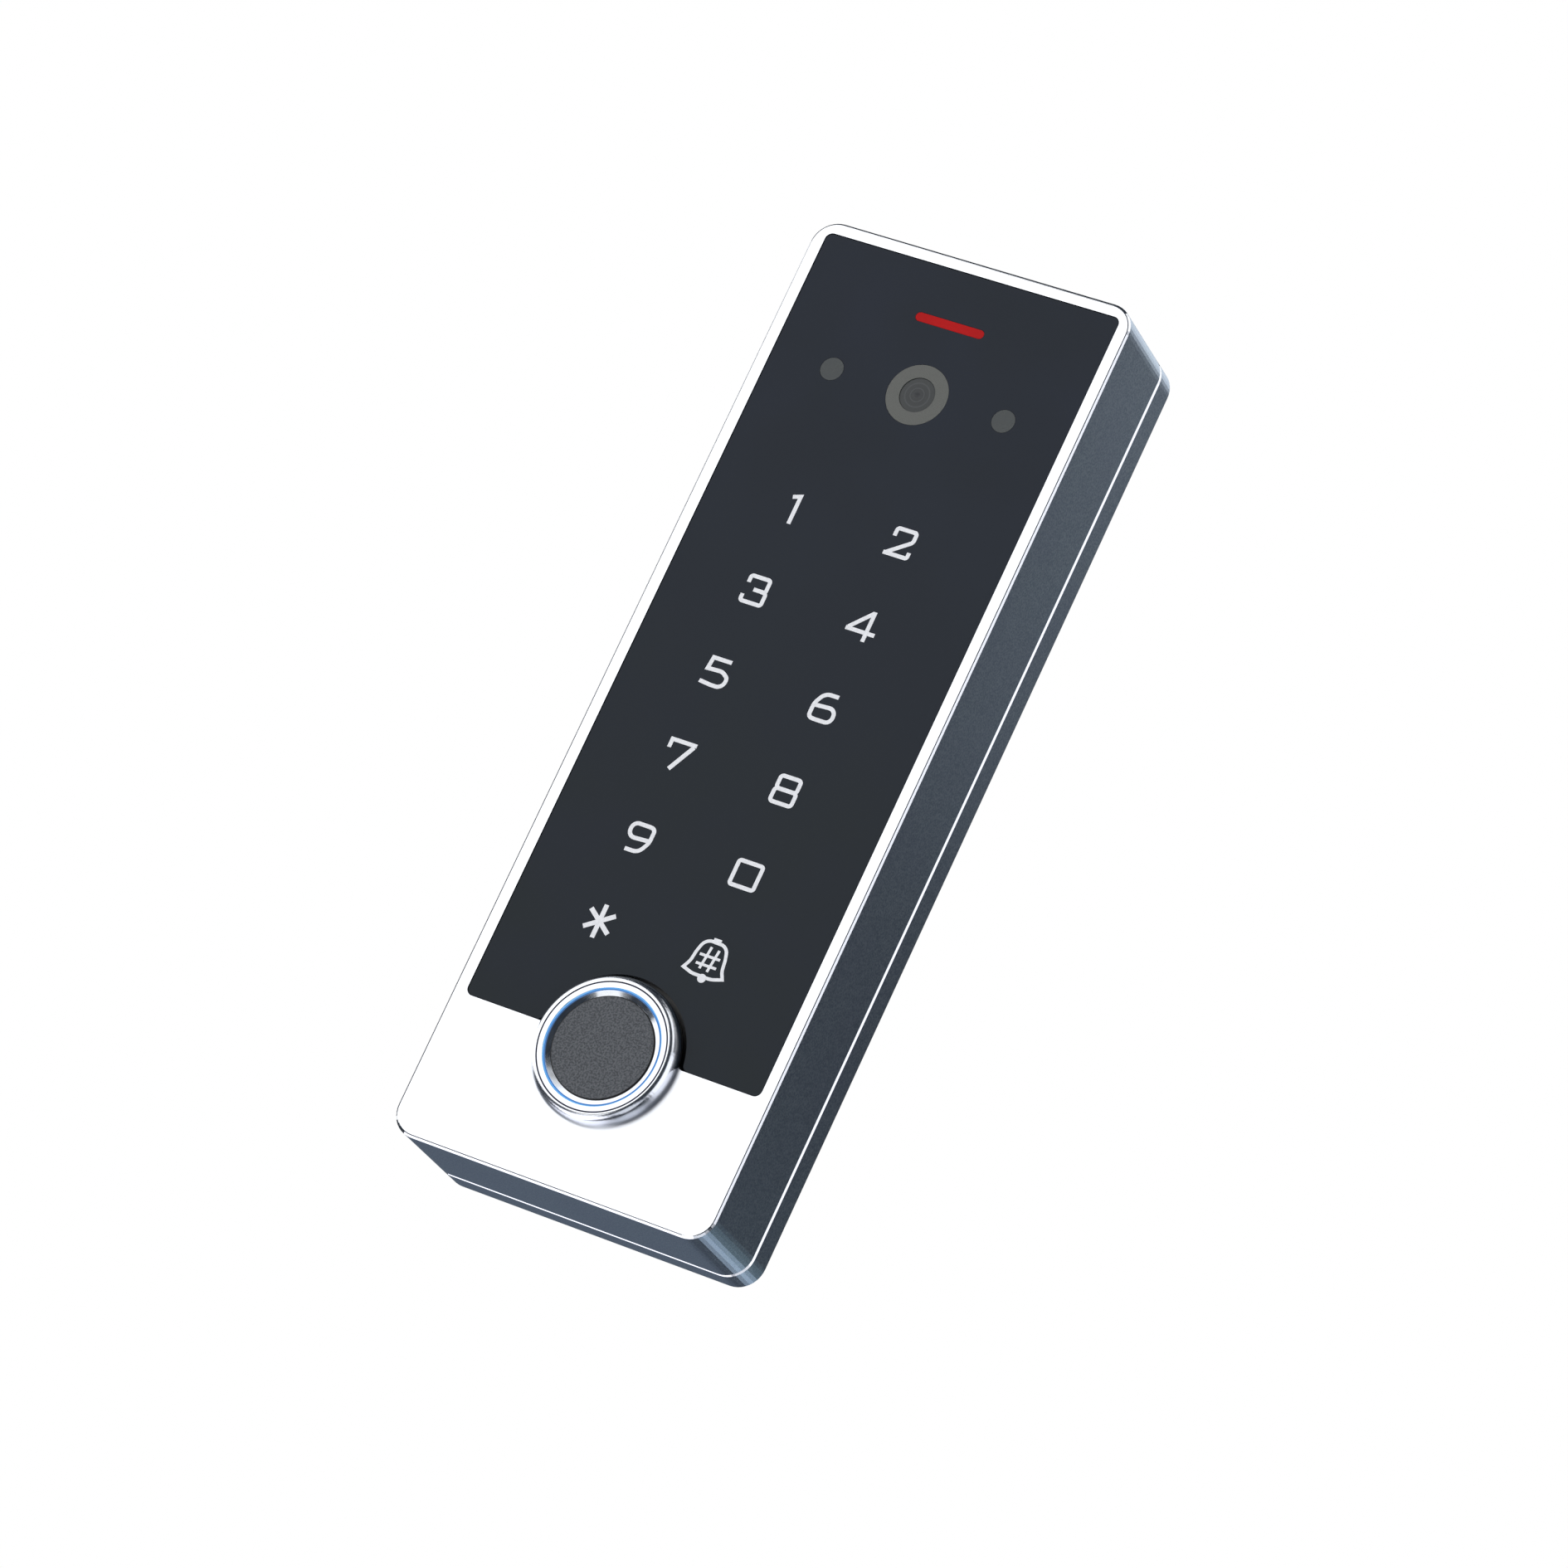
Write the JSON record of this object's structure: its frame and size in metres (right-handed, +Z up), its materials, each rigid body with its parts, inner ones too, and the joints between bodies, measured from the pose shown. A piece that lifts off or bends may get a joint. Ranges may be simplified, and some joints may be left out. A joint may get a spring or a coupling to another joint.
{
  "type": "fingerprint access terminal",
  "caption": "Slim wall-mounted metal terminal with a black touch keypad, camera, status bar and a round fingerprint reader.",
  "frame": {"origin": "middle of the wall plane, on the back of the wall plate, half way up the case", "axes": "+Z up the wall, +Y from the front face into the wall, +X to the right when facing the terminal"},
  "size_m": [0.056, 0.0262, 0.158],
  "materials": {
    "satin_metal": "fine bead-blasted satin, with polished bevels",
    "cover_metal": "fine bead-blasted satin",
    "polished_metal": "polished",
    "plate_steel": "zinc-plated sheet",
    "spring_steel": "bright",
    "screw_steel": "nickel-plated",
    "black_glass": "glossy, black-backed glass",
    "legend_ink": "backlit white print",
    "status_red": "translucent red",
    "clear_plastic": "clear",
    "tinted_window": "smoked",
    "camera_grey": "satin grey",
    "lens_glass": "coated dark glass",
    "black_plastic": "moulded",
    "white_plastic": "moulded",
    "green_plastic": "moulded",
    "blue_plastic": "moulded",
    "blue_light": "translucent, lit blue",
    "sensor_coat": "fine-grained hard coating",
    "seal_rubber": "matt",
    "tape_foam": "foam tape",
    "circuit_board": "solder mask",
    "flex_film": "polyimide film",
    "copper": "enamelled wire",
    "led_body": "moulded",
    "can_metal": "tinned"
  },
  "bodies": {
    "wall_mount": {"wall_plate": "plate_steel", "catch_spring": "spring_steel", "catch_rivets": "screw_steel"},
    "terminal": {"front_shell": "satin_metal", "rear_cover": "cover_metal", "case_seal": "seal_rubber", "cover_screws": "screw_steel", "cable_grommet": "seal_rubber", "touch_panel": "black_glass", "panel_tape": "tape_foam", "key_legends": "legend_ink", "light_guide": "clear_plastic", "key_leds": "led_body", "board_tape": "tape_foam", "touch_board": "circuit_board", "rfid_coil": "copper", "ferrite_sheet": "black_plastic", "touch_flex": "flex_film", "status_lens": "status_red", "light_pipe": "clear_plastic", "status_leds": "led_body", "camera_bezel": "camera_grey", "camera_lens": "lens_glass", "lens_barrel": "black_plastic", "lens_holder": "black_plastic", "image_sensor": "lens_glass", "camera_board": "circuit_board", "camera_flex": "flex_film", "ir_window_left": "tinted_window", "ir_window_right": "tinted_window", "ir_leds": "clear_plastic", "bezel_ring": "polished_metal", "ring_seal": "seal_rubber", "light_ring": "blue_light", "sensor_collar": "polished_metal", "sensor_pad": "sensor_coat", "sensor_board": "circuit_board", "led_board": "circuit_board", "ring_leds": "led_body", "sensor_holder": "black_plastic", "sensor_nut": "screw_steel", "sensor_flex": "flex_film", "main_board": "circuit_board", "board_screws": "screw_steel", "processor": "black_plastic", "shield_can": "can_metal", "memory_chips": "black_plastic", "radio_module": "can_metal", "lock_relay": "blue_plastic", "buzzer": "black_plastic", "wire_terminal": "green_plastic", "power_parts": "can_metal", "clock_cell": "can_metal", "flex_sockets": "white_plastic", "tamper_switch": "black_plastic", "tamper_spring": "spring_steel", "reset_switch": "can_metal"},
    "tamper_plunger": {"tamper_plunger": "white_plastic"},
    "reset_plunger": {"reset_plunger": "black_plastic"}
  },
  "joints": [
    {"name": "terminal_tilt", "type": "hinge", "parent": "wall_mount", "child": "terminal", "pos_m": [0, -0.00075, 0.0779], "axis": [-1, 0, 0], "range_deg": [0, 15], "deforming": ["catch_spring"]},
    {"name": "tamper_press", "type": "slide", "parent": "terminal", "child": "tamper_plunger", "axis": [0, -1, 0], "range_m": [0, 0.0012], "stiffness_N_per_m": 300, "deforming": ["tamper_spring"]},
    {"name": "reset_press", "type": "slide", "parent": "terminal", "child": "reset_plunger", "axis": [0, -1, 0], "range_m": [0, 0.0003], "stiffness_N_per_m": 4000}
  ]
}
